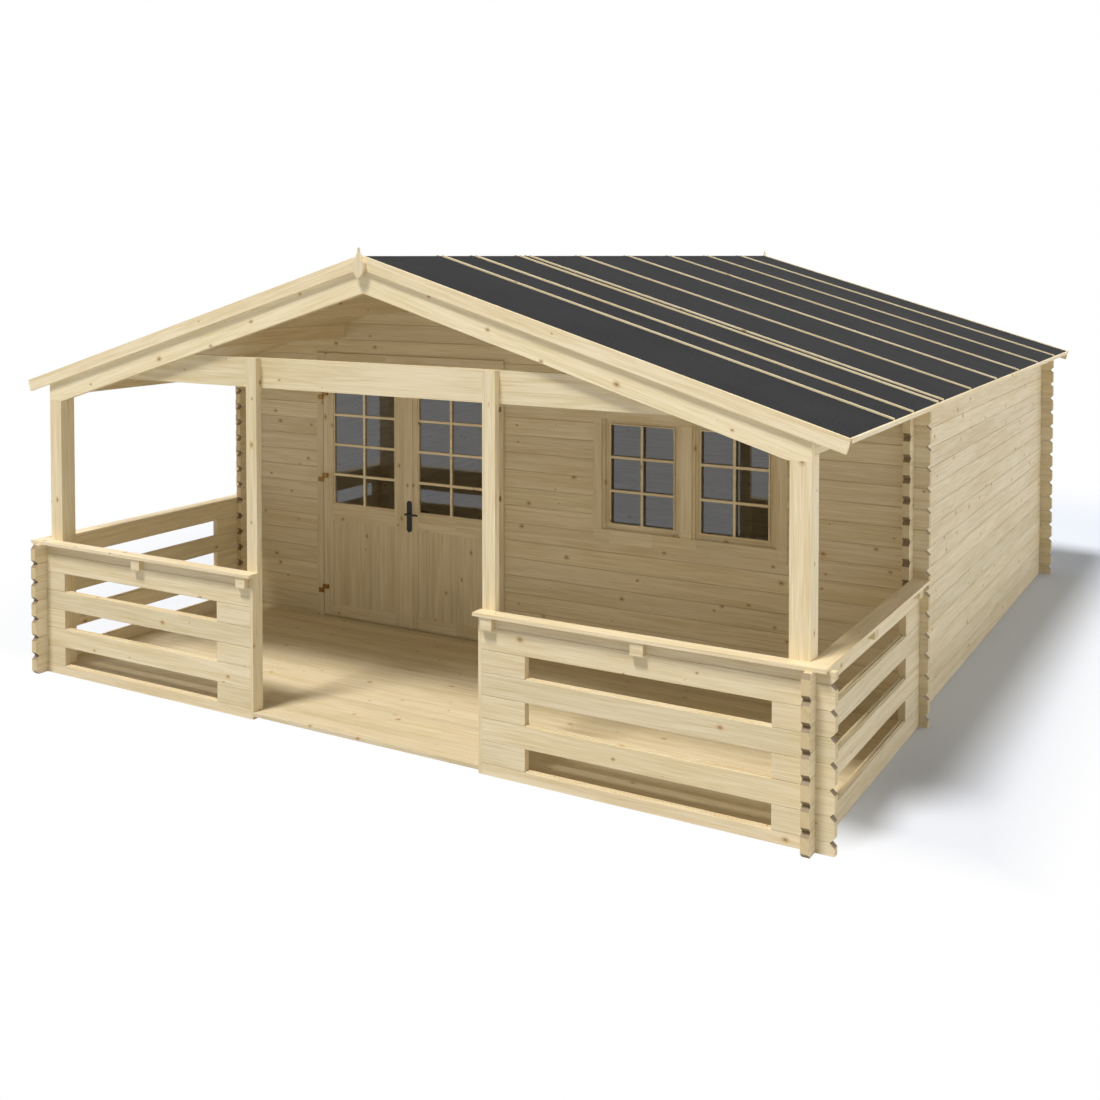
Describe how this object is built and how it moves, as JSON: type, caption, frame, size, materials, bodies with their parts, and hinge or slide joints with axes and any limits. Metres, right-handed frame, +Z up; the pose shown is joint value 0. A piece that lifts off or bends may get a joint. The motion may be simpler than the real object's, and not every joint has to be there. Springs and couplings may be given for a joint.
{
  "type": "log cabin",
  "caption": "Pine log cabin with a felted gable roof, a railed front porch, half-glazed double doors that open outward and a twin casement window beside them",
  "frame": {"origin": "centre of the bounding box at ground level", "axes": "+X to the right as seen from the front, +Y from the porch to the back wall, +Z up"},
  "size_m": [5.9688, 6.848, 2.9872],
  "materials": {
    "log_pine": "planed, untreated",
    "board_pine": "planed, untreated",
    "floor_pine": "planed boards",
    "door_pine": "planed, untreated",
    "felt": "mineral bitumen felt",
    "glass": "clear float glass",
    "hinge_brass": "passivated steel with a brass tone",
    "handle_black": "black lacquer"
  },
  "bodies": {
    "cabin": {"back_gable": "log_pine", "back_wall": "log_pine", "bargeboards": "board_pine", "cabin_floor": "floor_pine", "cap_brackets": "board_pine", "corner_posts": "board_pine", "door_frame": "door_pine", "door_sill_log": "log_pine", "door_trim": "door_pine", "eave_trims": "board_pine", "entrance_posts": "board_pine", "finials": "board_pine", "floor_bearers": "floor_pine", "front_gable": "log_pine", "front_rafters": "board_pine", "front_wall_left": "log_pine", "front_wall_middle": "log_pine", "front_wall_right": "log_pine", "hinge_pintles": "hinge_brass", "left_front_rail": "log_pine", "left_rail_caps": "board_pine", "left_roof_deck": "floor_pine", "left_roof_felt": "felt", "left_wall": "log_pine", "porch_floor": "floor_pine", "purlins": "board_pine", "rail_end_boards": "board_pine", "right_front_rail": "log_pine", "right_rail_caps": "board_pine", "right_roof_deck": "floor_pine", "right_roof_felt": "felt", "right_wall": "log_pine", "roof_battens": "board_pine", "tie_beam": "board_pine", "window_frame": "door_pine", "window_glass": "glass", "window_sashes": "door_pine", "window_trim": "door_pine"},
    "left_leaf": {"left_door": "door_pine", "left_door_glass": "glass", "left_door_hinges": "hinge_brass"},
    "right_leaf": {"right_door": "door_pine", "right_door_glass": "glass", "right_door_hinges": "hinge_brass", "door_handles": "handle_black"}
  },
  "joints": [
    {"name": "left_door_hinge", "type": "hinge", "parent": "cabin", "child": "left_leaf", "pos_m": [-1.9228, -1.36, 0], "axis": [0, 0, -1], "range_deg": [0, 110]},
    {"name": "right_door_hinge", "type": "hinge", "parent": "cabin", "child": "right_leaf", "pos_m": [-0.2868, -1.36, 0], "axis": [0, 0, 1], "range_deg": [0, 110]}
  ]
}
